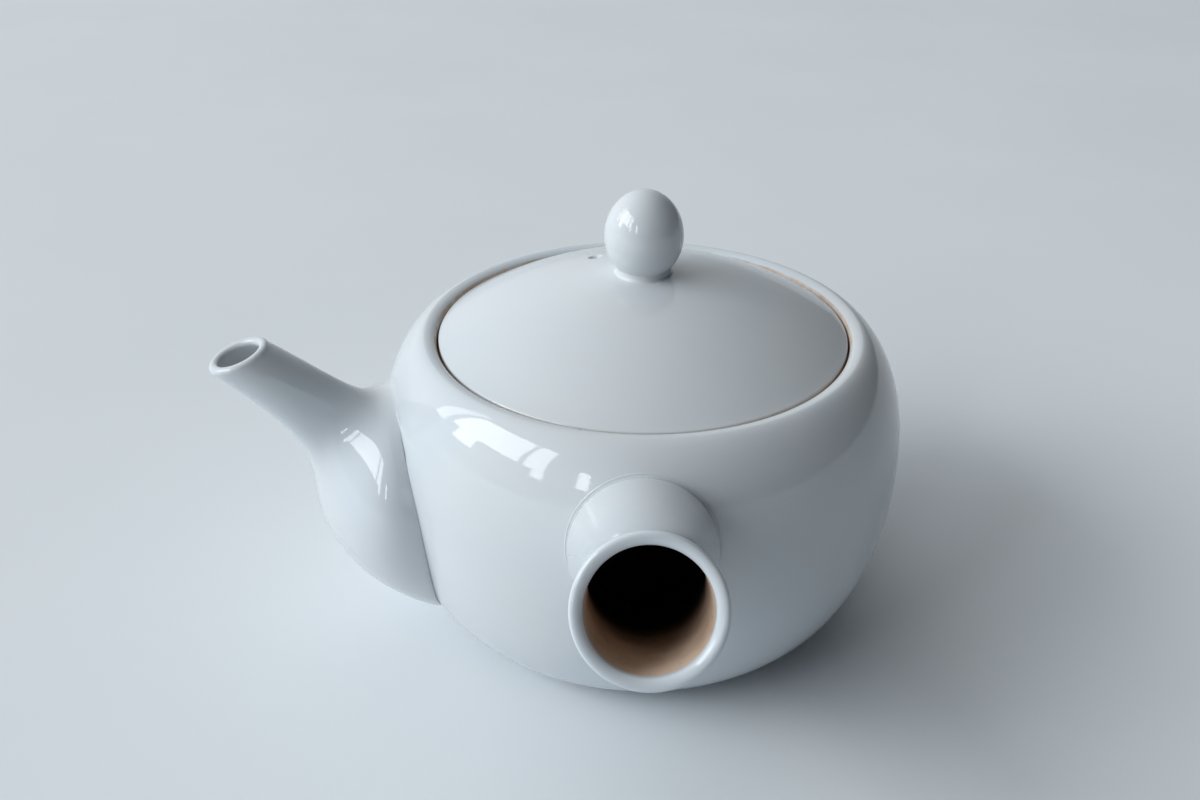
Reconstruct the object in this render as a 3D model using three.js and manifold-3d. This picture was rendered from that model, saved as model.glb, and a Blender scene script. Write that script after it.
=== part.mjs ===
// A white porcelain yokode kyusu: a round Japanese teapot with a hollow side handle, a flared spout,
// a pierced strainer behind the spout and a shallow lid with an egg-shaped knob.
// Millimetres, +Z up. The pot is built round its own axis and stands on its foot ring at z = 0. The
// handle points along -Y and the spout leaves on the left. The finished group is then moved sideways
// so that its origin is the centre of the bottom of its bounding box.
import * as THREE from 'three';
import { mergeVertices } from 'three/addons/utils/BufferGeometryUtils.js';
import Module from 'manifold-3d';

const wasm = await Module();
wasm.setup();

// Bowl
const bodyRadius = 57.5;
const girthHeight = 41;
const rimHeight = 68.6;
const rimRadius = 47.1;
const bowlWall = 3.2;
const floorThickness = 4;
const bellyPower = 2.1;
const shoulderRisePower = 2.4;
const shoulderTurnPower = 1.5;

// Foot ring
const footRadius = 35.7;
const footWidth = 4;
const footHeight = 1.2;
const footRecess = 1.8;

// Gallery that the lid sits in
const galleryRadius = 44.6;
const galleryDepth = 4.6;
const ledgeThickness = 3;
const ledgeRadius = 41;
const ledgeSlope = 5;
const rimFall = 1.6;

// Lid
const lidEdgeHeight = 3.4;
const lidThickness = 3.4;
const lidRise = 13.8;
const domePower = 2.1;
const flangeDepth = 8;
const flangeThickness = 3;
const lidEdgeRounding = 0.5;
const ventRadius = 1.3;
const ventDistance = 16.5;
const ventAngle = THREE.MathUtils.degToRad(133);

// Knob
const knobRadius = 8.7;
const knobHalfHeight = 9.5;
const knobLift = 7.9;
const knobFootRadius = 5.4;
const knobUnderside = 0.92;

// Handle
const handleTilt = THREE.MathUtils.degToRad(26.4);
const handleRootHeight = 50.5;
const handleLength = 53;
const handleRootRadius = 14.2;
const handleWaistRadius = 10.9;
const handleMouthRadius = 11.6;
const handleWall = 2.1;

// Spout: a ridge above and a keel below in its own upright plane, each pulled along by a few guide
// points given as a reach from the pot's axis and a height, and a half width pulled along in the same way
const spoutAngle = THREE.MathUtils.degToRad(195.6);
const ridgeBaseReach = 52;
const ridgeBaseHeight = 60.8;
const ridgeDipReach = 60.4;
const ridgeDipHeight = 56;
const ridgeRiseReach = 56.8;
const ridgeRiseHeight = 58.3;
const keelBaseReach = 43.2;
const keelBaseHeight = 4.6;
const keelBellyReach = 76.4;
const keelBellyHeight = 20.5;
const keelTurnReach = 81.6;
const keelTurnHeight = 43.7;
const keelNeckReach = 58.2;
const keelNeckHeight = 38.1;
const baseHalfWidth = 21.2;
const flareHalfWidth = 27.2;
const bellHalfWidth = 20.2;
const neckPull = -3.8;
const tubeHalfWidth = 8;
const bellyShare = 0.08;
const mouthReach = 85;
const mouthHeight = 71.7;
const mouthHalfWidth = 6.7;
const mouthHalfDepth = 5.75;
const mouthTilt = THREE.MathUtils.degToRad(71.6);
const mouthBlend = 8;
const spoutWall = 2.4;
const spoutLipWall = 1.5;

// Strainer and the pour hole behind it
const pourHeight = 38;
const pourRadius = 13;
const strainerRadius = 17;
const strainerBulge = 10;
const strainerThickness = 2.4;
const strainerHoleRadius = 1.1;
const strainerHolePitch = 4.3;
const strainerRings = 3;

// Clearances
const seatGap = 0.3;
const lidGap = 0.6;
const flangeGap = 0.7;

// How finely the round shapes are divided
const turnSteps = 52;
const curveSteps = 8;
const tubeSteps = 32;
const knobSteps = 24;
const lipSteps = 3;
const holeSides = 6;
const railStep = 0.01;

// Sizes that follow from those above
const ledgeHeight = rimHeight - galleryDepth;
const lidRadius = galleryRadius - lidGap;
const lidSeatHeight = ledgeHeight + seatGap;
const lidEdgeTop = lidSeatHeight + lidEdgeHeight;
const lidTop = lidEdgeTop + lidRise;
const flangeRadius = ledgeRadius - flangeGap;
const innerFloor = footRecess + floorThickness;

const glaze = { color: 0xdfe6ea, roughness: 0.08, metalness: 0 };
const bareClay = { color: 0xb89a80, roughness: 0.7, metalness: 0 };

// Values of a function of a share that runs from 0 to 1.
function sample(steps, valueAt) {
  return Array.from({ length: steps + 1 }, (unused, i) => valueAt(i / steps));
}

// Part of a circle in the (radius, height) plane, from one angle to another.
function arc(centreRadius, centreHeight, radius, from, to) {
  return sample(lipSteps, (share) => {
    const angle = from + (to - from) * share;
    return new THREE.Vector2(centreRadius + radius * Math.cos(angle), centreHeight + radius * Math.sin(angle));
  });
}

// The outer belly from the foot to the girth: a quarter of a superellipse.
function belly() {
  return sample(curveSteps, (share) => {
    const angle = share * Math.PI / 2;
    const drop = (girthHeight - footHeight) * Math.cos(angle) ** (2 / bellyPower);
    const bulge = (bodyRadius - footRadius) * Math.sin(angle) ** (2 / bellyPower);
    return new THREE.Vector2(footRadius + bulge, girthHeight - drop);
  });
}

// The outer shoulder from the girth to the crest of the rim, where it lies level.
function shoulder() {
  const height = rimHeight - girthHeight;
  return sample(curveSteps, (share) => {
    const angle = share * Math.PI / 2;
    const lift = height * Math.sin(angle) ** (2 / shoulderRisePower);
    const bulge = (bodyRadius - rimRadius) * Math.max(Math.cos(angle), 0) ** (2 / shoulderTurnPower);
    return new THREE.Vector2(rimRadius + bulge, girthHeight + lift);
  });
}

// The rim's rounded edge: a quarter of an ellipse that falls from the crest to the gallery's wall.
function rimEdge() {
  return sample(2 * lipSteps, (share) => {
    const angle = share * Math.PI / 2;
    const inward = (rimRadius - galleryRadius) * Math.sin(angle);
    return new THREE.Vector2(rimRadius - inward, rimHeight - rimFall * (1 - Math.cos(angle)));
  });
}

// The belly and the shoulder as one line, without the doubled point at the girth.
function bowlLine() {
  return [...belly(), ...shoulder().slice(1)];
}

// The bowl's line moved square to itself: outwards when the distance is positive.
function movedBowlLine(distance) {
  const line = bowlLine();
  return line.map((point, i) => {
    const before = line[Math.max(i - 1, 0)];
    const after = line[Math.min(i + 1, line.length - 1)];
    const along = after.clone().sub(before).normalize();
    return new THREE.Vector2(point.x + along.y * distance, point.y - along.x * distance);
  });
}

// A closed body from a geometry: corners are merged, flat triangles dropped and faces pointed out.
function toSolid(geometry) {
  const bare = new THREE.BufferGeometry();
  bare.setAttribute('position', geometry.getAttribute('position'));
  bare.setIndex(geometry.getIndex());
  const merged = mergeVertices(bare, 1e-5);
  const corners = merged.getAttribute('position');
  const index = merged.getIndex().array;
  const triangles = [];
  let volume = 0;
  const [a, b, c] = [new THREE.Vector3(), new THREE.Vector3(), new THREE.Vector3()];
  for (let i = 0; i < index.length; i += 3) {
    const [p, q, r] = [index[i], index[i + 1], index[i + 2]];
    if (p === q || q === r || r === p) continue;
    triangles.push(p, q, r);
    a.fromBufferAttribute(corners, p);
    b.fromBufferAttribute(corners, q);
    c.fromBufferAttribute(corners, r);
    volume += a.dot(b.cross(c));
  }
  if (volume < 0) triangles.reverse();
  const mesh = new wasm.Mesh({
    numProp: 3,
    vertProperties: new Float32Array(corners.array),
    triVerts: new Uint32Array(triangles),
  });
  return new wasm.Manifold(mesh);
}

// The solid back as a geometry.
function toGeometry(solid) {
  const mesh = solid.getMesh();
  const geometry = new THREE.BufferGeometry();
  geometry.setAttribute('position', new THREE.BufferAttribute(new Float32Array(mesh.vertProperties), 3));
  geometry.setIndex(new THREE.BufferAttribute(new Uint32Array(mesh.triVerts), 1));
  geometry.computeVertexNormals();
  return geometry;
}

// A profile in the (radius, height) plane turned round +Z.
function turned(profile, steps) {
  return new THREE.LatheGeometry(profile, steps).rotateX(Math.PI / 2);
}

// Closed loops of points joined each to the next, and the last to the first, as one tube wall.
function wallOfLoops(loops) {
  const sides = loops[0].length;
  const positions = loops.flat().flatMap((point) => [point.x, point.y, point.z]);
  const index = [];
  for (let row = 0; row < loops.length; row += 1) {
    const next = (row + 1) % loops.length;
    for (let side = 0; side < sides; side += 1) {
      const beside = (side + 1) % sides;
      const [p, q, r, s] = [row * sides + side, row * sides + beside, next * sides + beside, next * sides + side];
      index.push(p, q, r, p, r, s);
    }
  }
  const geometry = new THREE.BufferGeometry();
  geometry.setAttribute('position', new THREE.Float32BufferAttribute(positions, 3));
  geometry.setIndex(index);
  return geometry;
}

// The whole volume inside the bowl's outer skin, grown by the seat gap, that the luted pieces hug.
function bowlEnvelope() {
  const line = movedBowlLine(seatGap);
  const top = line[line.length - 1];
  const bottom = line[0];
  return toSolid(turned([new THREE.Vector2(0, bottom.y), ...line, new THREE.Vector2(0, top.y)], turnSteps));
}

// The space inside the bowl, shrunk by the seat gap, that the strainer stays within.
function bowlInside() {
  const line = movedBowlLine(-bowlWall - seatGap);
  const kept = line.filter((point) => point.y > innerFloor && point.y < ledgeHeight - ledgeThickness - ledgeSlope);
  const top = kept[kept.length - 1];
  const bottom = kept[0];
  return toSolid(turned([new THREE.Vector2(0, bottom.y), ...kept, new THREE.Vector2(0, top.y)], turnSteps));
}

// A straight cutter along +X at a height, turned about the pot's axis.
function radialCutter(radius, from, to, height, angle, sides) {
  const cutter = new THREE.CylinderGeometry(radius, radius, to - from, sides);
  cutter.rotateZ(Math.PI / 2).translate((from + to) / 2, 0, height).rotateZ(angle);
  return toSolid(cutter);
}

// The bowl with its foot ring, gallery and pour hole.
function makeBowl() {
  const underLedge = ledgeHeight - ledgeThickness;
  const inner = movedBowlLine(-bowlWall)
    .filter((point) => point.y > innerFloor && point.y < underLedge - ledgeSlope)
    .reverse();
  const lowest = inner[inner.length - 1];
  const profile = [
    new THREE.Vector2(0, footRecess),
    new THREE.Vector2(footRadius - footWidth - footRecess, footRecess),
    new THREE.Vector2(footRadius - footWidth, 0),
    new THREE.Vector2(footRadius, 0),
    ...bowlLine(),
    ...rimEdge().slice(1),
    new THREE.Vector2(galleryRadius, ledgeHeight),
    new THREE.Vector2(ledgeRadius, ledgeHeight),
    new THREE.Vector2(ledgeRadius, underLedge),
    ...inner,
    new THREE.Vector2(lowest.x - floorThickness, innerFloor),
    new THREE.Vector2(0, innerFloor),
  ];
  const pourHole = radialCutter(pourRadius, ledgeRadius, bodyRadius + bowlWall, pourHeight, spoutAngle, knobSteps);
  return toSolid(turned(profile, turnSteps)).subtract(pourHole);
}

// Height of the lid's dome at a distance from the axis.
function domeHeight(radius) {
  return lidEdgeTop + lidRise * (1 - (radius / lidRadius) ** domePower);
}

// The lid: a shallow dome, a rounded edge, a flat seat and a locating flange, with the vent hole.
function makeLid() {
  const slope = Math.atan(lidRise * domePower / lidRadius);
  const domeEnd = lidRadius - lidEdgeRounding * (1 - Math.sin(slope));
  const edgeCentre = domeHeight(domeEnd) - lidEdgeRounding * Math.cos(slope);
  const innerRadius = flangeRadius - flangeThickness;
  const profile = [
    ...sample(curveSteps, (share) => new THREE.Vector2(domeEnd * share, domeHeight(domeEnd * share))),
    ...arc(lidRadius - lidEdgeRounding, edgeCentre, lidEdgeRounding, Math.PI / 2 - slope, 0).slice(1),
    new THREE.Vector2(lidRadius, lidSeatHeight),
    new THREE.Vector2(flangeRadius, lidSeatHeight),
    new THREE.Vector2(flangeRadius, lidSeatHeight - flangeDepth),
    new THREE.Vector2(innerRadius, lidSeatHeight - flangeDepth),
    ...sample(curveSteps, (share) => {
      const radius = innerRadius * (1 - share);
      return new THREE.Vector2(radius, domeHeight(radius) - lidThickness);
    }),
  ];
  const vent = new THREE.CylinderGeometry(ventRadius, ventRadius, lidTop, holeSides)
    .rotateX(Math.PI / 2)
    .translate(ventDistance, 0, lidTop)
    .rotateZ(ventAngle);
  return toSolid(turned(profile, turnSteps)).subtract(toSolid(vent));
}

// The knob: an egg standing on a small foot at the top of the lid.
function makeKnob() {
  const foot = lidTop + seatGap;
  const centre = foot + knobLift;
  const lowest = -Math.acos(knobFootRadius / knobRadius) * knobUnderside;
  const profile = [
    new THREE.Vector2(0, foot),
    new THREE.Vector2(knobFootRadius, foot),
    ...sample(2 * curveSteps, (share) => {
      const angle = lowest + (Math.PI / 2 - lowest) * share;
      return new THREE.Vector2(Math.max(knobRadius * Math.cos(angle), 0), centre + knobHalfHeight * Math.sin(angle));
    }),
  ];
  profile[profile.length - 1].x = 0;
  return toSolid(turned(profile, knobSteps));
}

// Outer radius of the handle at a share of its length: wide at the root, a waist, and a small flare.
function handleRadius(share) {
  const taper = (handleRootRadius - handleWaistRadius) * (1 - share) ** 2;
  const flare = (handleMouthRadius - handleWaistRadius) * share ** 4;
  return handleWaistRadius + taper + flare;
}

// The hollow handle, open at its mouth and cut to the bowl at its root.
function makeHandle() {
  const buried = handleRootRadius;
  const lip = handleWall / 2;
  const end = handleLength - lip;
  const wallLine = (inset) => sample(curveSteps, (share) => {
    return new THREE.Vector2(handleRadius(share) - inset, end * share);
  });
  const profile = [
    new THREE.Vector2(handleRootRadius, -buried),
    ...wallLine(0),
    ...arc(handleMouthRadius - lip, end, lip, 0, Math.PI).slice(1, -1),
    ...wallLine(handleWall).reverse(),
    new THREE.Vector2(handleRootRadius - handleWall, -buried),
    new THREE.Vector2(handleRootRadius, -buried),
  ];
  const tube = turned(profile, tubeSteps)
    .rotateX(Math.PI / 2 - handleTilt)
    .translate(0, -bodyRadius, handleRootHeight);
  return toSolid(tube).subtract(bowlEnvelope());
}

// A point of the smooth curve that guide points pull along from the first of them to the last.
function pulled(guides, share) {
  if (guides.length === 1) return guides[0];
  return pulled(guides.slice(1).map((guide, i) => guides[i].clone().lerp(guide, share)), share);
}

// The spout's ridge, keel and half width.
const ridgeGuides = [
  new THREE.Vector3(ridgeBaseReach, 0, ridgeBaseHeight),
  new THREE.Vector3(ridgeDipReach, 0, ridgeDipHeight),
  new THREE.Vector3(ridgeRiseReach, 0, ridgeRiseHeight),
  new THREE.Vector3(
    mouthReach - mouthHalfDepth * Math.sin(mouthTilt),
    0,
    mouthHeight + mouthHalfDepth * Math.cos(mouthTilt),
  ),
];
const keelGuides = [
  new THREE.Vector3(keelBaseReach, 0, keelBaseHeight),
  new THREE.Vector3(keelBellyReach, 0, keelBellyHeight),
  new THREE.Vector3(keelTurnReach, 0, keelTurnHeight),
  new THREE.Vector3(keelNeckReach, 0, keelNeckHeight),
  new THREE.Vector3(
    mouthReach + mouthHalfDepth * Math.sin(mouthTilt),
    0,
    mouthHeight - mouthHalfDepth * Math.cos(mouthTilt),
  ),
];
const widthGuides = [baseHalfWidth, flareHalfWidth, bellHalfWidth, neckPull, tubeHalfWidth, mouthHalfWidth]
  .map((halfWidth) => new THREE.Vector3(0, halfWidth, 0));

// One oval section of the spout between its two rails, drawn in by an inset: square to each rail along
// the spout, and within the plane of the mouth at its end. Near the bowl it is wider below than above.
function spoutLoop(share, inset) {
  const ridge = pulled(ridgeGuides, share);
  const keel = pulled(keelGuides, share);
  const across = ridge.clone().sub(keel).setY(0).normalize();
  const inward = (guides, side) => {
    const along = pulled(guides, share + railStep).sub(pulled(guides, share - railStep)).setY(0).normalize();
    const square = new THREE.Vector3(along.z, 0, -along.x);
    return square.lerp(across.clone().negate(), share ** mouthBlend).normalize().multiplyScalar(side * inset);
  };
  const top = ridge.clone().add(inward(ridgeGuides, 1));
  const bottom = keel.clone().add(inward(keelGuides, -1));
  const halfWidth = pulled(widthGuides, share).y;
  return Array.from({ length: tubeSteps }, (unused, i) => {
    const angle = i / tubeSteps * 2 * Math.PI;
    const point = bottom.clone().lerp(top, (1 + Math.sin(angle)) / 2);
    const fullness = 1 - bellyShare * (1 - share) * Math.sin(angle);
    return point.setY((halfWidth * fullness - inset) * Math.cos(angle));
  });
}

// The hollow spout: its outside, a rounded lip and its inside as one wall, cut to the bowl.
function makeSpout() {
  const wallAt = (share) => spoutWall + (spoutLipWall - spoutWall) * share;
  const steps = 2 * curveSteps;
  const normal = new THREE.Vector3(Math.cos(mouthTilt), 0, Math.sin(mouthTilt));
  const lip = sample(2 * lipSteps, (share) => {
    const angle = share * Math.PI;
    const inset = spoutLipWall / 2 * (1 - Math.cos(angle));
    const lift = spoutLipWall / 2 * Math.sin(angle);
    return spoutLoop(1, inset).map((point) => point.addScaledVector(normal, lift));
  });
  const loops = [
    ...sample(steps, (share) => spoutLoop(share, 0)),
    ...lip.slice(1, -1),
    ...sample(steps, (share) => spoutLoop(1 - share, wallAt(1 - share))),
  ];
  return toSolid(wallOfLoops(loops).rotateZ(spoutAngle)).subtract(bowlEnvelope());
}

// Radius of the sphere that the strainer's dome is part of.
const domeRadius = (strainerRadius ** 2 + strainerBulge ** 2) / (2 * strainerBulge);

// The strainer: a thin dome inside the wall, pierced by rings of small holes in front of the pour hole.
function makeStrainer() {
  const distance = bodyRadius - bowlWall + domeRadius - strainerBulge;
  const ball = (radius) => toSolid(new THREE.SphereGeometry(radius, knobSteps, knobSteps / 2)
    .rotateZ(Math.PI / 2)
    .translate(distance, 0, pourHeight)
    .rotateZ(spoutAngle));
  let dome = ball(domeRadius).subtract(ball(domeRadius - strainerThickness)).intersect(bowlInside());
  for (let ring = 0; ring <= strainerRings; ring += 1) {
    const count = Math.max(6 * ring, 1);
    for (let i = 0; i < count; i += 1) {
      const drill = new THREE.CylinderGeometry(strainerHoleRadius, strainerHoleRadius, domeRadius, holeSides)
        .rotateZ(Math.PI / 2)
        .translate(-domeRadius, 0, 0)
        .rotateY(ring * strainerHolePitch / domeRadius)
        .rotateX(i / count * 2 * Math.PI)
        .translate(distance, 0, pourHeight)
        .rotateZ(spoutAngle);
      dome = dome.subtract(toSolid(drill));
    }
  }
  return dome;
}

// A named mesh with its own finish.
function named(name, solid, finish) {
  const mesh = new THREE.Mesh(toGeometry(solid), new THREE.MeshStandardMaterial(finish));
  mesh.name = name;
  return mesh;
}

const pot = new THREE.Group();
pot.add(named('pot_body', makeBowl(), glaze));
pot.add(named('spout', makeSpout(), glaze));
pot.add(named('strainer', makeStrainer(), bareClay));
pot.add(named('handle', makeHandle(), glaze));

const lid = new THREE.Group();
lid.add(named('lid', makeLid(), glaze));
lid.add(named('knob', makeKnob(), glaze));

// The whole teapot, with the middle of its bounding box over the origin.
const kyusu = new THREE.Group();
kyusu.add(pot, lid);
const middle = new THREE.Box3().setFromObject(kyusu).getCenter(new THREE.Vector3());
pot.position.set(-middle.x, -middle.y, 0);
lid.position.copy(pot.position);

export default kyusu;
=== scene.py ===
"""A white porcelain kyusu: a round Japanese teapot with a hollow side handle and a flared spout.

Every piece is a surface worked out with numpy round the pot's own axis, in metres, and stands for one
solid of the frame. The glaze and the bare clay are procedural materials. A piece carries one number on
its corners, called bare, that says where its glaze stops: 0 is glazed and 1 is bare clay. From 1 to 2 the
clay is painted towards near black as shade far inside the handle's bore.
"""
import math

import bpy
import numpy as np
from bpy.props import FloatProperty, FloatVectorProperty, PointerProperty
from bpy.types import Operator, Panel, PropertyGroup
from mathutils import Matrix, Vector


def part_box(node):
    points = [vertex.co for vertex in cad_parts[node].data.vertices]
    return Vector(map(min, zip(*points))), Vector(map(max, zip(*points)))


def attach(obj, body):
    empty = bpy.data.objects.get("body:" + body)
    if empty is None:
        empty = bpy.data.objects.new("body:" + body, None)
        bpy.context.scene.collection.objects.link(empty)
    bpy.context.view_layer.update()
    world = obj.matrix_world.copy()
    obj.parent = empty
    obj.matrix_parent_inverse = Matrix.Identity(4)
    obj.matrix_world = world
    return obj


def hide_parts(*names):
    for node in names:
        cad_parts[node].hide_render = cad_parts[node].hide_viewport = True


bl_info = {
    "name": "Kyusu Maker",
    "version": (1, 0, 0),
    "blender": (4, 5, 0),
    "location": "View3D > Sidebar > Kyusu",
    "description": "Builds a porcelain teapot with a side handle round a fixed frame",
    "category": "Object",
}

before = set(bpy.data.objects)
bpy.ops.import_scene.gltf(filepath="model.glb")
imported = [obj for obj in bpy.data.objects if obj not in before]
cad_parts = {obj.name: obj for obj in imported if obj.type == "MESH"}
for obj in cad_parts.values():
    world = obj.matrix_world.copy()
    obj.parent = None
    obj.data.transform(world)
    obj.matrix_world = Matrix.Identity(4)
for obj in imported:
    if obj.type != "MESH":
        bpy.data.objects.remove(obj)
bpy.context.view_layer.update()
MM = 0.001

LID_LOW, LID_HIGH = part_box("lid")
AXIS = np.array([(LID_LOW[0] + LID_HIGH[0]) / 2, (LID_LOW[1] + LID_HIGH[1]) / 2, 0.0])

# Powers of the superellipses that shape the bowl, and of the curve of the lid's dome
BELLY_POWER = 2.1
RISE_POWER = 2.4
TURN_POWER = 1.5
DOME_POWER = 1.9

# Places that more than one piece shares
HANDLE_HEIGHT = 50.5 * MM
POUR_HOLE_HEIGHT = 38 * MM

# The handle's outer radius: at its waist, and what its root and its mouth add
WAIST_RADIUS = 10.9 * MM
ROOT_SWELL = 3.3 * MM
MOUTH_FLARE = 0.7 * MM

# The spout's ridge and keel in its own upright plane, as reach from the pot's axis, 0 and height, and
# its half width, all in millimetres. Each curve is pulled along by its guides, from the bowl to the mouth.
MOUTH = np.array([84.5, 0.0, 71.65])
MOUTH_TILT = math.radians(71.6)
MOUTH_DEPTH = 6.45 * np.array([math.sin(MOUTH_TILT), 0.0, -math.cos(MOUTH_TILT)])
RIDGE = np.array([(52, 0, 60.8), (60.4, 0, 58.1), (56.8, 0, 56.9), MOUTH - MOUTH_DEPTH]) * MM
KEEL = np.array([(43.2, 0, 3.2), (76.4, 0, 19.6), (81.6, 0, 43.7), (58.2, 0, 38.1),
                 MOUTH + MOUTH_DEPTH]) * MM
HALF_WIDTH = np.array([(21.2,), (27.2,), (20.2,), (-3.8,), (8.0,), (6.1,)]) * MM
BELLY_SHARE = 0.08


def length(name, description, default):
    """A size in metres, given here in millimetres."""
    return FloatProperty(name=name, description=description, default=default * MM, unit="LENGTH", precision=5)


def angle_of(name, description, default):
    """An angle in radians, given here in degrees."""
    return FloatProperty(name=name, description=description, default=math.radians(default), unit="ROTATION")


def colour(name, description, default):
    """A colour that the user may change."""
    return FloatVectorProperty(name=name, description=description, default=default, subtype="COLOR", size=3,
                               min=0.0, max=1.0)


class KyusuSizes(PropertyGroup):
    """Sizes of the pot, as they are in the frame or a little closer to the real one."""
    body_radius: length("Body radius", "Radius of the bowl at its girth", 57.5)
    girth_height: length("Girth height", "Height of the widest part", 41)
    rim_height: length("Rim height", "Height of the rim", 68.6)
    rim_radius: length("Rim radius", "Outer radius of the rim", 47.1)
    bowl_wall: length("Bowl wall", "Thickness of the wall", 3.2)
    foot_radius: length("Foot radius", "Outer radius of the foot ring", 35.7)
    lid_radius: length("Lid radius", "Outer radius of the lid", 44.15)
    lid_rise: length("Lid rise", "Height of the lid's dome above its edge", 13.8)
    knob_radius: length("Knob radius", "Half the thickness of the egg-shaped knob", 8.38)
    handle_length: length("Handle length", "Length from the wall to the mouth", 53)
    handle_tilt: angle_of("Handle tilt", "Rise of the handle above the level", 27.1)
    spout_angle: angle_of("Spout angle", "Direction of the spout round the pot", 195.6)


class KyusuFinish(PropertyGroup):
    """Colours of the glaze and the bare clay."""
    glaze: colour("Glaze", "Colour of the clear glaze over white porcelain", (0.68, 0.71, 0.735))
    clay: colour("Bare clay", "Colour of the unglazed clay", (0.66, 0.5, 0.385))
    stain: colour("Tea stain", "Colour that tea leaves on the unglazed clay", (0.33, 0.2, 0.12))


def sizes():
    """The pot's sizes, as the panel shows them."""
    return bpy.context.scene.kyusu_sizes


def finish():
    """The pot's colours, as the panel shows them."""
    return bpy.context.scene.kyusu_finish


def ramp(low, high, value):
    """0 up to low, 1 from high on, and a smooth step 3t^2 - 2t^3 between them."""
    t = np.clip((value - low) / (high - low), 0, 1)
    return t * t * (3 - 2 * t)


def unit(vectors):
    """Vectors of the same direction and a length of one."""
    return vectors / np.linalg.norm(vectors, axis=-1, keepdims=True)


def arc(centre_r, centre_z, radius, start, end, count=9):
    """Points of a circle in the (radius, height) plane between two angles."""
    angle = np.linspace(start, end, count)
    return np.column_stack([centre_r + radius * np.cos(angle), centre_z + radius * np.sin(angle)])


def line(*points):
    """Corner points in millimetres, as a profile in metres."""
    return np.array(points, float) * MM


def full_turn(steps, start=0.0):
    """Even angles round a circle."""
    return start + np.linspace(0, 2 * math.pi, steps, endpoint=False)


def turned(profile, angle):
    """A profile turned round the axis: each point (r, z) becomes the circle (r cos a, r sin a, z)."""
    r, z = profile[:, :1], profile[:, 1:]
    return np.stack([r * np.cos(angle), r * np.sin(angle), z + 0 * angle], axis=-1)


def offset(profile, distance):
    """A profile moved square to itself by a distance, outwards when positive."""
    along = unit(np.gradient(profile, axis=0))
    return profile + distance * np.column_stack([along[:, 1], -along[:, 0]])


def bezier(guides, share):
    """A curve pulled along by guides: the sum of n!/(k!(n-k)!) (1-s)^(n-k) s^k times guide k."""
    n, s = len(guides) - 1, share[..., None]
    return sum(math.comb(n, k) * (1 - s) ** (n - k) * s ** k * guide for k, guide in enumerate(guides))


def bowl_line(count=70):
    """The outer skin: a quarter of a superellipse from foot to girth, and another from girth to rim."""
    s = sizes()
    foot_height = 1.2 * MM
    angle = np.linspace(0, math.pi / 2, count)
    low_r = s.foot_radius + (s.body_radius - s.foot_radius) * np.sin(angle) ** (2 / BELLY_POWER)
    low_z = s.girth_height - (s.girth_height - foot_height) * np.cos(angle).clip(0) ** (2 / BELLY_POWER)
    rise = s.rim_height - s.girth_height
    high_r = s.rim_radius + (s.body_radius - s.rim_radius) * np.cos(angle).clip(0) ** (2 / TURN_POWER)
    high_z = s.girth_height + rise * np.sin(angle) ** (2 / RISE_POWER)
    return np.column_stack([np.append(low_r, high_r[1:]), np.append(low_z, high_z[1:])])


def above_skin(points):
    """Height of points over the bowl's outer skin: the level distance to it, times its slope's cosine."""
    profile = bowl_line(200)
    along = unit(np.gradient(profile, axis=0))
    level = np.hypot(points[..., 0], points[..., 1]) - np.interp(points[..., 2], profile[:, 1], profile[:, 0])
    return level * np.interp(points[..., 2], profile[:, 1], along[:, 1])


def handle_line():
    """Where the handle's line starts, as far from the axis as the girth, and the line's direction."""
    s = sizes()
    start = np.array([0, -s.body_radius, HANDLE_HEIGHT])
    return start, np.array([0, -math.cos(s.handle_tilt), math.sin(s.handle_tilt)])


def towards_spout():
    """Turns rows (reach, side, height) of the spout's own plane to its direction round the pot."""
    cos, sin = math.cos(sizes().spout_angle), math.sin(sizes().spout_angle)
    return np.array([(cos, sin, 0), (-sin, cos, 0), (0, 0, 1)])


def pierced(row, angle, centre, half, radius, reach):
    """Grid corners moved so that a block of cells round a centre becomes a round hole.

    A corner has a place along the rows and an angle, which reach turns into a length. With u and v its
    distances from the centre and q the larger of them as a share of half the block, it goes to the
    circle of radius q times the hole's, fully at q = 1 and not at all from q = 3 on.
    """
    turn = np.remainder(angle - centre[1] + math.pi, 2 * math.pi) - math.pi
    u, v = row - centre[0], reach * turn
    q = np.maximum(np.abs(u) / half[0], np.abs(v) / half[1])
    out = np.maximum(np.hypot(u, v), 1e-9)
    pull = 1 - ramp(1.0, 3.0, q)
    u, v = u + (u / out * radius * q - u) * pull, v + (v / out * radius * q - v) * pull
    return centre[0] + u, centre[1] + v / reach


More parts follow.
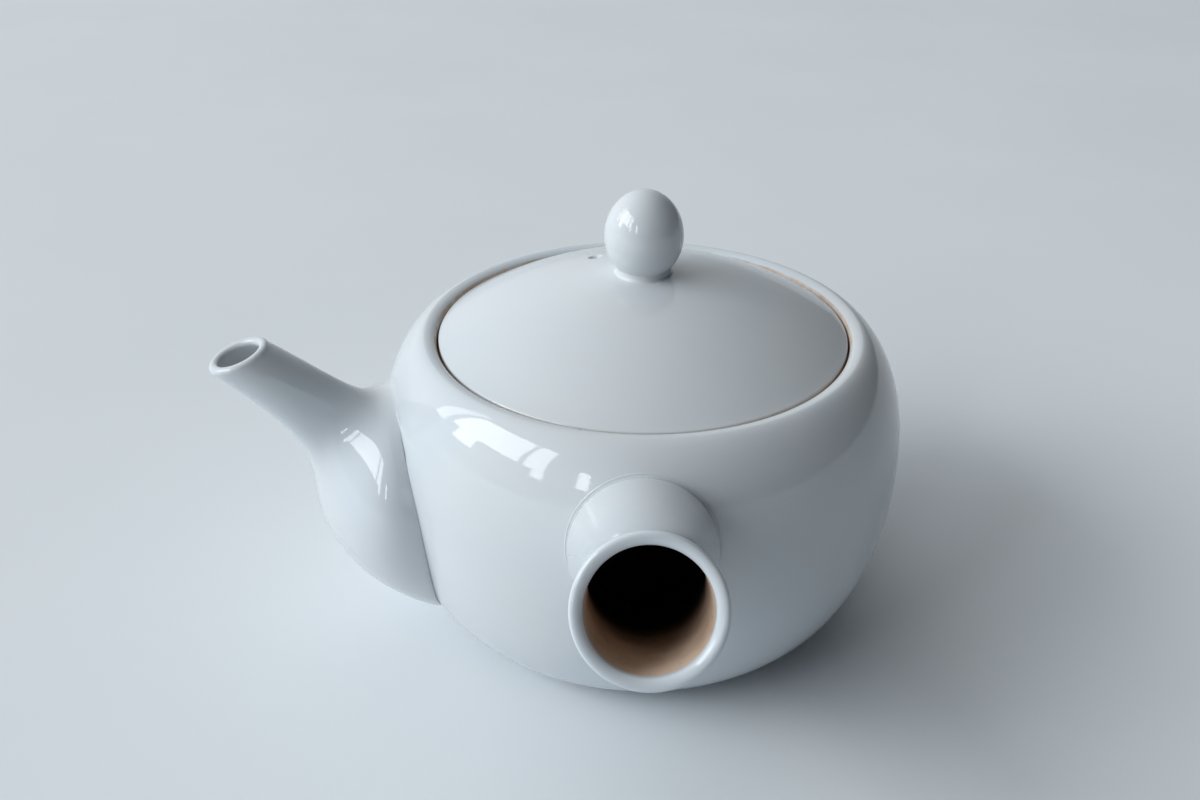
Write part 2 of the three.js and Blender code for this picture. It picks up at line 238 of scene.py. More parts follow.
def sheet(name, points, bare, wrap_rows=False, poles=(False, False), holes=()):
    """A mesh from a grid of points that closes on itself across its columns.

    Rows also close when wrap_rows is set. A pole is a first or last row that is one point. A hole is two
    equal blocks of cells on the two skins of a wall, given by their first rows, their height in rows,
    their first column and their width in columns: both are left out, and their edges are joined through
    the wall.
    """
    rows, columns = points.shape[:2]
    number = np.arange(rows * columns).reshape(rows, columns)
    if poles[0]:
        number[0] = number[0, 0]
    if poles[1]:
        number[-1] = number[-1, 0]
    below = number if wrap_rows else number[:-1]
    above = np.roll(number, -1, axis=0) if wrap_rows else number[1:]
    quads = np.stack([below, np.roll(below, -1, axis=1), np.roll(above, -1, axis=1), above], axis=-1)
    kept = np.ones(quads.shape[:2], bool)
    walls = []
    for first, second, tall, column, wide in holes:
        kept[first:first + tall, column:column + wide] = False
        kept[second:second + tall, column:column + wide] = False
        down, over = np.arange(tall), np.arange(wide)
        row = np.concatenate([0 * over, down, 0 * over + tall, down[::-1] + 1])
        side = np.concatenate([over, 0 * down + wide, over[::-1] + 1, 0 * down])
        edge = number[first + row, column + side]
        far = number[second + tall - row, column + side]
        walls.append(np.stack([edge, np.roll(edge, -1), np.roll(far, -1), far], axis=-1))
    quads = np.concatenate([quads[kept].reshape(-1, 4), *walls])
    used, compact = np.unique(quads, return_inverse=True)
    quads = compact.reshape(-1, 4)
    corners = points.reshape(-1, 3)[used]
    a, b, c, d = (corners[quads[:, k]] for k in range(4))
    volume = np.sum(a * np.cross(b, c)) + np.sum(a * np.cross(c, d))
    if volume < 0:
        quads = quads[:, ::-1]
    low_tip, high_tip = quads[:, 0] == quads[:, 1], quads[:, 2] == quads[:, 3]
    faces = quads[~low_tip & ~high_tip].tolist()
    faces += quads[low_tip][:, [0, 2, 3]].tolist() + quads[high_tip][:, [0, 1, 2]].tolist()
    return make_piece(name, corners, faces, np.broadcast_to(bare, points.shape[:2]).reshape(-1)[used])


def make_piece(name, corners, faces, bare):
    """A smooth object from corners and faces, with its bare number on each corner."""
    mesh = bpy.data.meshes.new(name)
    mesh.from_pydata((corners + AXIS).tolist(), [], faces)
    mesh.polygons.foreach_set("use_smooth", [True] * len(faces))
    mesh.attributes.new("bare", "FLOAT", "POINT").data.foreach_set("value", np.array(bare, np.float32))
    mesh.update()
    piece = bpy.data.objects.new(name, mesh)
    bpy.context.scene.collection.objects.link(piece)
    return piece


def place(piece, node, body, material):
    """Gives a piece its material, puts it on its body and hides the frame's node that it stands for."""
    piece.data.materials.append(material)
    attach(piece, body)
    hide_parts(node)


class Socket:
    """A shader socket that reads as a number in a formula."""

    def __init__(self, tree, socket):
        self.tree, self.socket = tree, socket

    def node(self, kind, settings=(), out=0, **inputs):
        """Any node: its type, its settings, then values or links for its sockets.

        A socket is given by its name, or by i and its number.
        """
        node = self.tree.nodes.new(kind)
        for key, value in dict(settings).items():
            setattr(node, key, value)
        for key, value in inputs.items():
            slot = node.inputs[int(key[1:]) if key[0] == "i" and key[1:].isdigit() else key.replace("_", " ")]
            if isinstance(value, Socket):
                self.tree.links.new(value.socket, slot)
            else:
                slot.default_value = value
        return Socket(self.tree, node.outputs[out])

    def maths(self, operation, other=0.0, swap=False):
        """A Math node on this number and another one, the other one first when swapped."""
        first, second = (other, self) if swap else (self, other)
        return self.node("ShaderNodeMath", {"operation": operation}, i0=first, i1=second)

    def __add__(self, other):
        return self.maths("ADD", other)

    __radd__ = __add__

    def __sub__(self, other):
        return self.maths("SUBTRACT", other)

    def __rsub__(self, other):
        return self.maths("SUBTRACT", other, swap=True)

    def __mul__(self, other):
        return self.maths("MULTIPLY", other)

    __rmul__ = __mul__

    def step(self, low, high):
        """0 below low, 1 above high, and a smooth ramp between."""
        return self.node("ShaderNodeMapRange", {"interpolation_type": "SMOOTHSTEP"}, i0=self, i1=low, i2=high)

    def noise(self, scale, detail=2.0, roughness=0.5):
        """Soft noise of a size that scale sets: features are about one over scale, in metres."""
        return self.node("ShaderNodeTexNoise", Vector=self, Scale=scale, Detail=detail, Roughness=roughness)

    def feed(self, shader, name):
        """Links this value to a shader's input."""
        self.tree.links.new(self.socket, shader.inputs[name])


def new_material(name):
    """A material with a Principled shader, and the Object coordinates to start a pattern from."""
    material = bpy.data.materials.new(name)
    material.use_nodes = True
    tree = material.node_tree
    shader = tree.nodes["Principled BSDF"]
    coordinates = tree.nodes.new("ShaderNodeTexCoord")
    return material, shader, Socket(tree, coordinates.outputs["Object"])


def mix(first, second, factor):
    """A blend of two colours by a factor."""
    settings = {"data_type": "RGBA"}
    return factor.node("ShaderNodeMix", settings, out=2, i0=factor, i6=first, i7=second)


def clay_tone(where):
    """Bare fired clay: warm tan, browner where tea has soaked in, with fine darker grains."""
    soaked = where.noise(95.0, 4.0).step(0.38, 0.72)
    tone = mix((*finish().clay, 1.0), (*finish().stain, 1.0), soaked * 0.55)
    grains = where.noise(1500.0, 2.0).step(0.6, 0.72)
    return mix(tone, (*finish().stain, 1.0), grains * 0.35)


def speck(where, place_mm, radius_mm):
    """A round iron speck under the glaze at a place given from the pot's axis."""
    place_at = tuple(AXIS + np.array(place_mm) * MM)
    away = where.node("ShaderNodeVectorMath", {"operation": "DISTANCE"}, out=1, i0=where, i1=place_at)
    return 1 - away.step(radius_mm * 0.5 * MM, radius_mm * MM)


def porcelain_material():
    """Clear glossy glaze over white porcelain, and bare clay where the piece's bare number rises to 1.

    The glaze has soft clouds of tone, faint ripples and a few iron specks, and stops on a wavering line.
    """
    material, shader, where = new_material("clear_glaze")
    bare = where.node("ShaderNodeAttribute", {"attribute_name": "bare"}, out=2)
    edge = bare + (where.noise(260.0, 3.0) - 0.5) * 0.3
    unglazed = edge.step(0.45, 0.62)
    # Bare numbers from 1 to 2 fade the clay to near black: painted shade far inside the handle's bore
    painted_bore_shade = bare.step(1.0, 2.0)

    glaze = finish().glaze
    pale = (*glaze, 1.0)
    cool = (glaze[0] * 0.95, glaze[1] * 0.98, glaze[2] * 1.01, 1.0)
    tone = mix(pale, cool, where.noise(22.0, 3.0).step(0.35, 0.65))

    # Iron specks: tiny ones in the very few cells whose random grey is close to white, and two larger
    # ones that the photograph shows. Beside them stands the near black of the painted shade in the handle's
    # bore.
    iron, painted_shade_clay, cells = (0.2, 0.17, 0.15, 1.0), (0.05, 0.035, 0.025, 1.0), 130.0
    spots = where.node("ShaderNodeTexVoronoi", Vector=where, Scale=cells)
    rare = where.node("ShaderNodeTexVoronoi", out=1, Vector=where, Scale=cells).step(0.965, 0.975)
    specks = (1 - spots.step(0.02, 0.04)) * rare * 0.5
    placed = speck(where, (-12.0, -44.2, 68.4), 0.45) + speck(where, (16.4, -50.0, 56.6), 0.4)
    tone = mix(tone, iron, specks + placed * 0.75)
    # The bare clay turns to near black where the painted shade of the bore sets in
    mix(tone, mix(clay_tone(where), painted_shade_clay, painted_bore_shade), unglazed).feed(shader, "Base Color")

    glossy, dry = 0.06, 0.78
    (unglazed * (dry - glossy) + glossy).feed(shader, "Roughness")
    ripple = where.noise(75.0, 2.0) + where.noise(420.0, 1.0) * 0.06
    grain = where.noise(1300.0, 3.0) * unglazed * 0.35
    bump = where.node("ShaderNodeBump", Height=ripple + grain, Strength=0.05, Distance=0.001)
    bump.feed(shader, "Normal")
    shader.inputs["IOR"].default_value = 1.5
    return material


def clay_material():
    """Bare fired clay with a fine dry grain."""
    material, shader, where = new_material("bare_clay")
    clay_tone(where).feed(shader, "Base Color")
    grain = where.noise(900.0, 3.0)
    where.node("ShaderNodeBump", Height=grain, Strength=0.25, Distance=0.0003).feed(shader, "Normal")
    shader.inputs["Roughness"].default_value = 0.8
    return material


def porcelain():
    """The glaze that all glazed pieces share."""
    return bpy.data.materials.get("clear_glaze") or porcelain_material()


def clay():
    """The clay of the pieces that have no glaze."""
    return bpy.data.materials.get("bare_clay") or clay_material()


class KYUSU_OT_bowl(Operator):
    """Bowl with its foot ring, rounded rim, gallery and pour hole"""
    bl_idname = "kyusu.bowl"
    bl_label = "Bowl"

    def execute(self, context):
        s = sizes()
        gallery_radius, rim_fall = 44.6 * MM, 1.6 * MM
        foot_edge, seat_edge = s.foot_radius / MM, gallery_radius / MM
        outer = bowl_line()
        foot = line((0, 1.8), (29.9, 1.8), (31.2, 0.45), (31.8, 0), (foot_edge - 0.2, 0), (foot_edge, 0.2))
        fall = np.linspace(0, math.pi / 2, 20)[1:]
        rim = np.column_stack([s.rim_radius - (s.rim_radius - gallery_radius) * np.sin(fall),
                               s.rim_height - rim_fall * (1 - np.cos(fall))])
        gallery = line((seat_edge, 66.3), (seat_edge, 65.2), (seat_edge, 64.3), (seat_edge - 0.3, 64),
                       (43, 64), (41.3, 64), (41, 63.7), (41, 61))

        # Between these heights each row of the outer skin has a row of the inner skin level with it
        wall_low, wall_high = 7 * MM, 55 * MM
        walled = np.flatnonzero((outer[:, 1] > wall_low) & (outer[:, 1] < wall_high))
        skin = offset(outer, -s.bowl_wall)
        inner_z = outer[walled][::-1, 1]
        inner = np.column_stack([np.interp(inner_z, skin[:, 1], skin[:, 0]), inner_z])
        floor = line((inner[-1, 0] / MM - 4, 5.8), (inner[-1, 0] / MM - 6, 5.7), (0, 5.7))
        profile = np.vstack([foot, outer, rim, gallery, inner, floor])
        angle = full_turn(192, s.spout_angle)
        points = turned(profile, angle)

        # The pour hole behind the spout goes through both skins
        hole_radius, wide = 13 * MM, 14
        first = len(foot) + walled[0]
        back = len(foot) + len(outer) + len(rim) + len(gallery)
        level = outer[walled, 1]
        tall = int(np.sum(np.abs(level - POUR_HOLE_HEIGHT) < hole_radius)) - 1
        start = int(np.argmin(np.abs(level - (POUR_HOLE_HEIGHT - hole_radius))))
        centre = ((level[start] + level[start + tall]) / 2, s.spout_angle)
        half = ((level[start + tall] - level[start]) / 2, wide / 2 * (angle[1] - angle[0]) * s.body_radius)
        for at, line_of in ((first, outer), (back, inner[::-1])):
            block = slice(at, at + len(walled))
            z, turn = pierced(profile[block, 1:], angle, centre, half, hole_radius, s.body_radius)
            radius = np.interp(z, line_of[:, 1], line_of[:, 0])
            points[block] = np.stack([radius * np.cos(turn), radius * np.sin(turn), z], axis=-1)
        points = np.roll(points, wide // 2, axis=1)
        mirrored = back + len(walled) - 1 - start - tall
        holes = [(first + start, mirrored, tall, 0, wide)]

        # The glaze thins out over the rim's inner edge, and is wiped off the gallery and the foot ring
        height, radius = profile[:, 1], profile[:, 0]
        row = np.arange(len(profile))
        in_gallery = (row >= len(foot) + len(outer)) & (row < back + 3)
        seat = 0.57 * ramp(45.4 * MM, 45.0 * MM, radius) + 0.44 * ramp(66.6 * MM, 65.8 * MM, height)
        bare = np.where(in_gallery, seat, 0.0)
        bare = np.where(row < len(foot), ramp(29 * MM, 31 * MM, radius), bare)[:, None]

        # The skin that closes the handle's bore is painted near black as shade, with bare numbers up to 2.
        # The painted shade fades out under the handle's wall.
        shade_radius, shade_per_mm = 13.6 * MM, 1.2
        root, out = handle_line()
        away = np.linalg.norm(np.cross(points - root, out), axis=-1)
        covered = (points[..., 1] < 0) & (row < back)[:, None]
        bore_shade = np.where(covered, np.clip((shade_radius - away) / MM * shade_per_mm, 0, 2), 0.0)
        piece = sheet("bowl", points, np.maximum(bore_shade, bare), poles=(True, True), holes=holes)
        place(piece, "pot_body", "pot", porcelain())
        return {"FINISHED"}


def meeting(tube, gap, low, high, columns):
    """Share at which each line of a luted tube rises a gap above the bowl's skin.

    It is found by halving the range from low to high, which is enough 40 times over.
    """
    low, high = np.full(columns, low), np.full(columns, high)
    for _ in range(40):
        middle = (low + high) / 2
        under = above_skin(tube(middle)) < gap
        low, high = np.where(under, middle, low), np.where(under, high, middle)
    return high


def luted(surface, inside, edge, lip, low, high, columns, rows):
    """Rows of a hollow tube luted to the bowl: its shaped edge, its outside, its lip and its inside.

    The surface is a function of a share of the length and of an inset from the tube's outside, and the
    inside is one of a share alone. The edge is pairs of an inset and a gap above the bowl's skin. The
    outside runs in even shares from the last pair to the mouth, and the inside runs back, to a little
    under the skin.
    """
    def outside(inset):
        """The tube at one inset, as a function of the share alone."""
        return lambda share: surface(share, inset)

    sunk = -0.35 * MM
    last_inset, last_gap = edge[-1]
    grid = [surface(meeting(outside(inset), gap, low, high, columns), inset)[None] for inset, gap in edge]
    start = meeting(outside(last_inset), last_gap, low, high, columns)
    share = start + np.linspace(0, 1, rows)[1:, None] * (1 - start)
    inner_start = meeting(inside, sunk, low, high, columns)
    inner_share = 1 - np.linspace(0, 1, rows)[:, None] * (1 - inner_start)
    grid += [surface(share, last_inset * (1 - ramp(0, 0.1, share))), lip, inside(inner_share)]
    first_inside = len(edge) + rows - 1 + len(lip)
    return np.concatenate(grid), first_inside


def handle_radius(share):
    """Outer radius along the handle: wide at the root, a waist, and a small flare at the mouth."""
    share = np.clip(share, 0, 1)
    return WAIST_RADIUS + ROOT_SWELL * (1 - share) ** 2 + MOUTH_FLARE * share ** 4


class KYUSU_OT_handle(Operator):
    """Hollow side handle with a rounded lip and a raised ring where it is luted on"""
    bl_idname = "kyusu.handle"
    bl_label = "Handle"

    def execute(self, context):
        s = sizes()
        wall, columns = 2.1 * MM, 128
        angle = full_turn(columns)
        root, out = handle_line()
        up = np.array([0, math.sin(s.handle_tilt), math.cos(s.handle_tilt)])
        spoke = np.cos(angle)[:, None] * np.array([1.0, 0, 0]) + np.sin(angle)[:, None] * up
        end = s.handle_length - wall / 2

        def surface(share, inset):
            """Circles square to the handle's line, at shares of its length."""
            radius = handle_radius(share) - inset
            return root + (share * end)[..., None] * out + (radius + 0 * angle)[..., None] * spoke

        def inside(share):
            """The bore, at the depth of the wall."""
            return surface(share, wall)

        # The lip's inset is the wall times ((1 - cos t) / 2)^p, so it is rounder inside than outside
        lip_power = 1.5
        lip_angle = np.linspace(0, math.pi, 15)[1:-1, None]
        lip = surface(1 + 0 * lip_angle, wall * ((1 - np.cos(lip_angle)) / 2) ** lip_power)
        lip = lip + (wall / 2 * np.sin(lip_angle))[..., None] * out

        # Pairs of an inset and a gap: a fine bead at the bowl, a groove, and the rounded root
        edge = line((-0.6, -0.05), (-0.48, 0.06), (-0.36, 0.08), (-0.26, 0.03), (-0.16, -0.08), (0.2, -0.1),
                    (0.38, 0.0), (0.34, 0.35), (0.15, 0.75), (0, 1.2))
        points, first_inside = luted(surface, inside, edge, lip, -0.25, 0.5, columns, 50)

        # The bore is bare from just inside the lip, and painted darker with depth as shade, its bare number
        # rising towards 2
        along = (points - root) @ out
        row = np.arange(len(points))[:, None]
        bare = np.where(row >= first_inside - 3, 1 - ramp(end - 1.6 * MM, end + 0.6 * MM, along), 0.0)
        bare = bare + np.where(row >= first_inside, ramp(end - 8 * MM, end - 40 * MM, along), 0.0)
        piece = sheet("handle_tube", points, bare, wrap_rows=True)
        place(piece, "handle", "pot", porcelain())
        return {"FINISHED"}


def spout_surface(share, inset, angle):
    """Ovals between the ridge and the keel, drawn in by an inset.

    A point is keel + (ridge - keel) (1 + sin a) / 2, and half the width times cos a to the side, a little
    less above and more below near the bowl. The inset moves the rails square to themselves, and within
    the plane of the mouth at the end.
    """
    share, inset = np.broadcast_arrays(share, inset)
    flat = np.array([1.0, 0, 1])
    ridge, keel = bezier(RIDGE, share), bezier(KEEL, share)
    fullness = 1 - BELLY_SHARE * (1 - share) * np.sin(angle)
    half_width = bezier(HALF_WIDTH, share)[..., 0] * fullness - inset
    across = unit(ridge - keel)

    def inward(guides, side):
        """How far a rail moves for the inset: square to itself, and along the mouth at the end."""
        along = unit((bezier(guides, share + 0.01) - bezier(guides, share - 0.01)) * flat)
        square = np.stack([along[..., 2], 0 * share, -along[..., 0]], axis=-1)
        return side * unit(square - (across + square) * (share.clip(0) ** 8)[..., None]) * inset[..., None]

    top, bottom = ridge + inward(RIDGE, 1), keel + inward(KEEL, -1)
    point = bottom + (top - bottom) * ((1 + np.sin(angle)) / 2)[:, None]
    point[..., 1] = half_width * np.cos(angle)
    return point @ towards_spout()


class KYUSU_OT_spout(Operator):
    """Hollow spout that swells to the bowl below and narrows to a tube with a rounded mouth"""
    bl_idname = "kyusu.spout"
    bl_label = "Spout"

    def execute(self, context):
        columns = 128
        angle = full_turn(columns)
        wall, lip_wall = 2.4 * MM, 2.1 * MM

        def surface(share, inset):
            """The spout's ovals, drawn in evenly."""
            return spout_surface(share + 0 * angle, inset, angle)

        def inside(share):
            """The wall thins evenly from the bowl to the lip."""
            share = share + 0 * angle
            return spout_surface(share, wall + (lip_wall - wall) * share, angle)

        normal = np.array([math.cos(MOUTH_TILT), 0, math.sin(MOUTH_TILT)]) @ towards_spout()
        lip_angle = np.linspace(0, math.pi, 15)[1:-1, None]
        lip = surface(1 + 0 * lip_angle, lip_wall / 2 * (1 - np.cos(lip_angle)))
        lip = lip + (lip_wall / 2 * np.sin(lip_angle))[..., None] * normal

        # A small fillet of glaze at the top, and a rounded edge with a groove elsewhere, wider below
        up = np.sin(angle)
        groove = ramp(0.98, 0.8, up)
        bend = (0.25 + 1.1 * ramp(0.4, -0.9, up)) * MM
        fillet = line((-0.9, -0.04), (-0.6, 0.03), (-0.35, 0.14), (-0.15, 0.34), (-0.05, 0.6), (-0.01, 0.9),
                      (0, 1.6))
        round_edge = [(0.6 * bend * (1 - math.sin(t)), 1.5 * bend * (1 - math.cos(t)) - 0.03 * MM)
                      for t in np.linspace(0, math.pi / 2, 6)] + [(0, 2.3 * MM)]
        edge = [tuple(high + (low - high) * groove for high, low in zip(a, b))
                for a, b in zip(fillet, round_edge)]
        points, first_inside = luted(surface, inside, edge, lip, 0.0, 0.6, columns, 90)

        # The glaze is thin inside, and breaks up towards the bowl
        row = np.arange(len(points))[:, None]
        thin = 0.25 + 0.2 * ramp(70 * MM, 60 * MM, points[..., 2])
        piece = sheet("spout_tube", points, np.where(row >= first_inside, thin, 0.0), wrap_rows=True)
        place(piece, "spout", "pot", porcelain())
        return {"FINISHED"}


class KYUSU_OT_strainer(Operator):
    """Domed strainer with its rings of small holes"""
    bl_idname = "kyusu.strainer"
    bl_label = "Strainer"

    def execute(self, context):
        # In millimetres: the dome's radius and thickness, its rim's radius along the dome, how far it
        # bulges from the wall, its holes' radius and spacing, and the square cells that make all of it.
        # The middle hole counts as one of the rings.
        s = sizes()
        radius, thickness, rim, bulge = 19.45, 2.4, 17.3, 10
        hole, pitch, step = 1.1, 4.3, 0.3
        rings = 4
        away = s.body_radius / MM - s.bowl_wall / MM + radius - bulge
        axis = np.arange(-rim - 2 * step, rim + 3 * step, step)
        flat = np.stack(np.meshgrid(axis, axis, indexing="ij"), axis=-1)
        turns = [(ring, i / max(6 * ring, 1) * 2 * math.pi)
                 for ring in range(rings) for i in range(max(6 * ring, 1))]
        centres = np.array([(ring * pitch * math.cos(a), ring * pitch * math.sin(a)) for ring, a in turns])

        def nearest(points):
            """The nearest hole's centre to each point, and how far outside its edge the point is."""
            gaps = np.linalg.norm(points[..., None, :] - centres, axis=-1)
            return centres[gaps.argmin(axis=-1)], gaps.min(axis=-1) - hole

        # Cells in the clay are kept, and corners on its border move to the circle of a hole or the rim
        middle = (flat[:-1, :-1] + flat[1:, 1:]) / 2
        kept = (np.linalg.norm(middle, axis=-1) < rim) & (nearest(middle)[1] > 0)
        cells = np.zeros(flat.shape[:2] + (2,), int)
        for down, over in ((0, 0), (0, 1), (1, 0), (1, 1)):
            target = cells[down:down + kept.shape[0], over:over + kept.shape[1]]
            target[..., 0] += kept
            target[..., 1] += 1
        border = (cells[..., 0] > 0) & (cells[..., 0] < cells[..., 1])
        centre, gap = nearest(flat)
        by_hole = border & (gap < 1.5 * step)
        by_rim = border & ~by_hole
        flat[by_hole] = centre[by_hole] + unit(flat[by_hole] - centre[by_hole]) * hole
        flat[by_rim] = unit(flat[by_rim]) * rim

        # A flat point at distance d goes to the angle d / R from the pole of a sphere, which looks at
        # the pot's axis
        polar = np.linalg.norm(flat, axis=-1) / radius
        heading = np.arctan2(flat[..., 1], flat[..., 0])
        sideways = np.sin(polar)
        direction = np.stack([-np.cos(polar), sideways * np.cos(heading), sideways * np.sin(heading)], -1)
        number = np.arange(flat[..., 0].size).reshape(flat.shape[:2])

        # The first skin faces the pot's axis, the second has its corners the other way round, and walls
        # join them round the rim and the holes
        quads = np.stack([number[:-1, :-1], number[:-1, 1:], number[1:, 1:], number[1:, :-1]], -1)[kept]
        edges = np.concatenate([quads[:, [k, (k + 1) % 4]] for k in range(4)])
        key = edges[:, 0] * number.size + edges[:, 1]
        twin = edges[:, 1] * number.size + edges[:, 0]
        rims = edges[~np.isin(key, twin)]
        far = rims + number.size
        walls = np.column_stack([rims[:, 1], rims[:, 0], far[:, 0], far[:, 1]])
        quads = np.concatenate([quads, quads[:, ::-1] + number.size, walls])
        skins = (direction * radius, direction * (radius - thickness))
        corners = np.concatenate([skin.reshape(-1, 3) for skin in skins])
        used, quads = np.unique(quads, return_inverse=True)
        corners = (corners[used] + (away, 0, POUR_HOLE_HEIGHT / MM)) * MM @ towards_spout()
        piece = make_piece("strainer_dome", corners, quads.reshape(-1, 4).tolist(), np.ones(len(corners)))
        place(piece, "strainer", "pot", clay())
        return {"FINISHED"}


class KYUSU_OT_lid(Operator):
    """Shallow lid with its vent and its locating flange"""
    bl_idname = "kyusu.lid"
    bl_label = "Lid"

    def execute(self, context):
        s = sizes()
        edge_top, edge_rounding, thickness = 67.7 * MM, 0.5 * MM, 3.4 * MM
        hollow_radius, hollow_rows = 37.2 * MM, 80

        def dome(radius):
            """Height of the dome: its rise times 1 - (r / R)^p above its edge."""
            return edge_top + s.lid_rise * (1 - (radius / s.lid_radius) ** DOME_POWER)

        slope = math.atan(s.lid_rise * DOME_POWER / s.lid_radius)
        dome_end = s.lid_radius - edge_rounding * (1 - math.sin(slope))
        edge_centre = dome(dome_end) - edge_rounding * math.cos(slope)
        shared = np.linspace(0, hollow_radius, hollow_rows)
        outer = np.linspace(hollow_radius, dome_end, 12)[1:]
        lid_edge = s.lid_radius / MM
        side = line((lid_edge, 66.6), (lid_edge, 64.5), (lid_edge - 0.2, 64.3), (42, 64.3), (40.5, 64.3),
                    (40.3, 64.1), (40.3, 56.6), (40.0, 56.3), (37.6, 56.3), (37.3, 56.6), (37.3, 66))
        profile = np.vstack([
            np.column_stack([shared, dome(shared)]),
            np.column_stack([outer, dome(outer)]),
            arc(s.lid_radius - edge_rounding, edge_centre, edge_rounding, math.pi / 2 - slope, 0)[1:],
            side,
            np.column_stack([shared[::-1], dome(shared[::-1]) - thickness]),
        ])

        # The vent goes through the dome and its hollow underside
        vent_reach, vent_heading, vent_radius = 15.2 * MM, math.radians(133), 1.4 * MM
        angle = full_turn(256, vent_heading)
        points = turned(profile, angle)
        wide, tall = 6, 5
        start = int(np.argmin(np.abs(shared - vent_reach))) - tall // 2
        centre = ((shared[start] + shared[start + tall]) / 2, vent_heading)
        half = (tall / 2 * (shared[1] - shared[0]), wide / 2 * (angle[1] - angle[0]) * vent_reach)
        under = len(profile) - hollow_rows
        for block, drop in ((slice(0, hollow_rows), 0.0), (slice(under, len(profile)), thickness)):
            radius, turn = pierced(profile[block, :1], angle, centre, half, vent_radius, vent_reach)
            radius, turn = np.broadcast_arrays(np.maximum(radius, 0), turn)
            height = dome(radius) - drop
            points[block] = np.stack([radius * np.cos(turn), radius * np.sin(turn), height], axis=-1)
        points = np.roll(points, wide // 2, axis=1)
        holes = [(start, len(profile) - 1 - start - tall, tall, 0, wide)]

        # The glaze stops under the edge, and the flange is bare
        row = np.arange(len(profile))
        flange = (row >= len(shared) + len(outer)) & (row < under)
        bare = np.where(flange, ramp(67.2 * MM, 66.8 * MM, profile[:, 1]), 0.0)
        piece = sheet("lid_dome", points, bare[:, None], poles=(True, True), holes=holes)
        place(piece, "lid", "lid", porcelain())
        return {"FINISHED"}


class KYUSU_OT_knob(Operator):
    """Egg-shaped knob with a pool of glaze round its foot"""
    bl_idname = "kyusu.knob"
    bl_label = "Knob"

    def execute(self, context):
        # Two half ellipses that share their widest place: (r cos a, middle + half height sin a)
        radius = sizes().knob_radius / MM
        middle, above, below, lowest = 89.2, 10.0, 9.2, -0.81
        angle = np.linspace(lowest, math.pi / 2, 70)
        half_height = np.where(angle > 0, above, below)
        egg = np.column_stack([radius * np.cos(angle), middle + half_height * np.sin(angle)])
        egg[-1, 0] = 0
        pool = [(0, 81.0), (6.3, 81.0), (6.3, 81.13), (6.1, 81.27), (5.92, 81.45), (5.82, 81.7), (5.77, 82.0),
                (5.76, 82.35)]
        points = turned(np.vstack([pool, egg]) * MM, full_turn(128))
        piece = sheet("knob_egg", points, 0.0, poles=(True, True))
        place(piece, "knob", "lid", porcelain())
        return {"FINISHED"}


def pale_floor(scene):
    """A wide plain board under the pot, with a faint cloud in its colour."""
    half, board, cloud = 3.0, (0.75, 0.79, 0.825, 1), (0.83, 0.86, 0.885, 1)
    corners = [(-half, -half, 0), (half, -half, 0), (half, half, 0), (-half, half, 0)]
    mesh = bpy.data.meshes.new("floor")
    mesh.from_pydata(corners, [], [(0, 1, 2, 3)])
    floor = bpy.data.objects.new("floor", mesh)
    scene.collection.objects.link(floor)
    material, shader, where = new_material("pale_board")
    mix(board, cloud, where.noise(9.0, 5.0)).feed(shader, "Base Color")
    shader.inputs["Roughness"].default_value = 0.6
    mesh.materials.append(material)


def soft_room(scene):
    """Light from the room, brightest at the left and behind, and none from the right and in front."""
    room_level, backdrop_level = 0.88, 0.8
    world = bpy.data.worlds.new("room")
    scene.world = world
    world.use_nodes = True
    tree = world.node_tree
    sky = tree.nodes["Background"]
    sky.inputs["Color"].default_value = (0.92, 0.97, 1.0, 1)
    towards = Socket(tree, tree.nodes.new("ShaderNodeTexCoord").outputs["Generated"])
    bright_side = tuple(Vector((-0.7, 0.58, 0.4)).normalized())
    dot = {"operation": "DOT_PRODUCT"}
    facing = towards.node("ShaderNodeVectorMath", dot, out=1, i0=towards, i1=bright_side)
    strength = facing.step(-0.15, 1.0) * room_level
    # The camera itself sees a plain pale backdrop, which lights nothing
    seen = towards.node("ShaderNodeLightPath", out="Is Camera Ray")
    (strength + seen * (backdrop_level - strength)).feed(sky, "Strength")


def area_lamp(name, place_at, target, size, radiance, tint):
    """A soft rectangular lamp that faces a point. Its power is its radiance times pi times its area."""
    lamp = bpy.data.lights.new(name, "AREA")
    lamp.shape, lamp.size, lamp.size_y = "RECTANGLE", *size
    lamp.energy, lamp.color = radiance * math.pi * size[0] * size[1], tint
    holder = bpy.data.objects.new(name, lamp)
    bpy.context.scene.collection.objects.link(holder)
    holder.visible_camera = False
    holder.location = place_at
    holder.rotation_euler = (Vector(target) - Vector(place_at)).to_track_quat("-Z", "Y").to_euler()


def window_light():
    """The panes of an upright window at the left, in metres.

    A pane has the places of its two sides along the window from its middle, the heights of its lower and
    upper edges, and its radiance.
    """
    heading, window_away, daylight = math.radians(-108), 4.5, (0.93, 0.975, 1.0)
    panes = (("pane_a", -2.85, -2.15, 1.4, 5.75, 3.3), ("pane_b", -1.8, 1.32, 1.85, 4.7, 6.4),
             ("pane_b_low", -1.35, -0.42, 1.04, 1.85, 6.4), ("pane_c", 1.56, 2.52, 1.85, 4.85, 6.4),
             ("pane_c_low", 2.04, 2.58, 1.31, 1.85, 6.4), ("pane_d", 4.5, 5.34, 1.7, 3.65, 7.6))
    out = Vector((math.sin(heading), math.cos(heading), 0))
    along = Vector((-out.y, out.x, 0))
    for name, start, end, low, high, radiance in panes:
        stand = Vector(AXIS) + out * window_away + along * (start + end) / 2
        stand.z = (low + high) / 2
        area_lamp(name, stand, stand - out, (end - start, high - low), radiance, daylight)


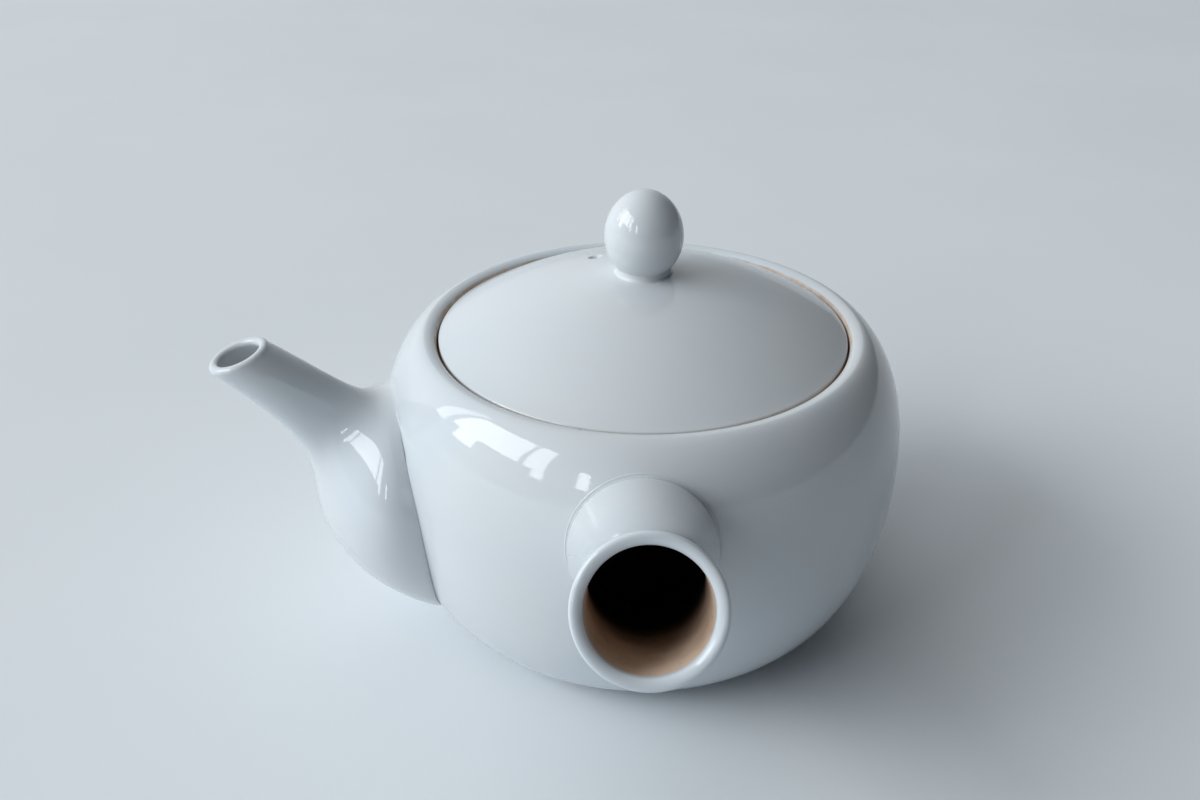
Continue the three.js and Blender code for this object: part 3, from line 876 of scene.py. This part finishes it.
def photo_camera(scene):
    """The camera, with its focal length in pixels of a picture 1200 wide, and its place from the axis."""
    focal, picture_width, yaw, pitch = 1230.7, 1200, -0.0207, 0.5168
    place_at = Vector(AXIS) + Vector((-0.00421, -0.24096, 0.1866))
    forward = Vector((math.sin(yaw) * math.cos(pitch), math.cos(yaw) * math.cos(pitch), -math.sin(pitch)))
    right = Vector((math.cos(yaw), -math.sin(yaw), 0))
    up = right.cross(forward)
    camera = bpy.data.cameras.new("camera")
    camera.sensor_width = 36.0
    camera.lens = focal / picture_width * camera.sensor_width
    camera.clip_start = 0.01
    holder = bpy.data.objects.new("camera", camera)
    scene.collection.objects.link(holder)
    turn_matrix = Matrix((right, up, -forward)).transposed().to_4x4()
    holder.matrix_world = Matrix.Translation(place_at) @ turn_matrix
    scene.camera = holder


class KYUSU_OT_stage(Operator):
    """Pale floor, soft window light and the photograph's camera"""
    bl_idname = "kyusu.stage"
    bl_label = "Stage"

    def execute(self, context):
        scene = context.scene
        scene.view_settings.view_transform = "Standard"
        pale_floor(scene)
        soft_room(scene)
        window_light()
        photo_camera(scene)
        return {"FINISHED"}


class KYUSU_PT_panel(Panel):
    """Lists the steps in the 3D view's sidebar"""
    bl_label = "Kyusu"
    bl_idname = "KYUSU_PT_panel"
    bl_space_type = "VIEW_3D"
    bl_region_type = "UI"
    bl_category = "Kyusu"

    def draw(self, context):
        for group in (context.scene.kyusu_sizes, context.scene.kyusu_finish):
            for name in group.__annotations__:
                self.layout.prop(group, name)
        for step in STEPS:
            self.layout.operator(step.bl_idname)


STEPS = (KYUSU_OT_stage, KYUSU_OT_bowl, KYUSU_OT_handle, KYUSU_OT_spout, KYUSU_OT_strainer, KYUSU_OT_lid,
         KYUSU_OT_knob)
CLASSES = (KyusuSizes, KyusuFinish, *STEPS, KYUSU_PT_panel)


def register():
    """Makes the classes and the panel's values known to Blender."""
    for item in CLASSES:
        bpy.utils.register_class(item)
    bpy.types.Scene.kyusu_sizes = PointerProperty(type=KyusuSizes)
    bpy.types.Scene.kyusu_finish = PointerProperty(type=KyusuFinish)


def unregister():
    """Takes them away again, the last one first."""
    del bpy.types.Scene.kyusu_finish
    del bpy.types.Scene.kyusu_sizes
    for item in reversed(CLASSES):
        bpy.utils.unregister_class(item)


def main():
    """Makes every piece in order."""
    register()
    for step in STEPS:
        group, name = step.bl_idname.split(".")
        getattr(getattr(bpy.ops, group), name)()


if __name__ == "__main__":
    main()
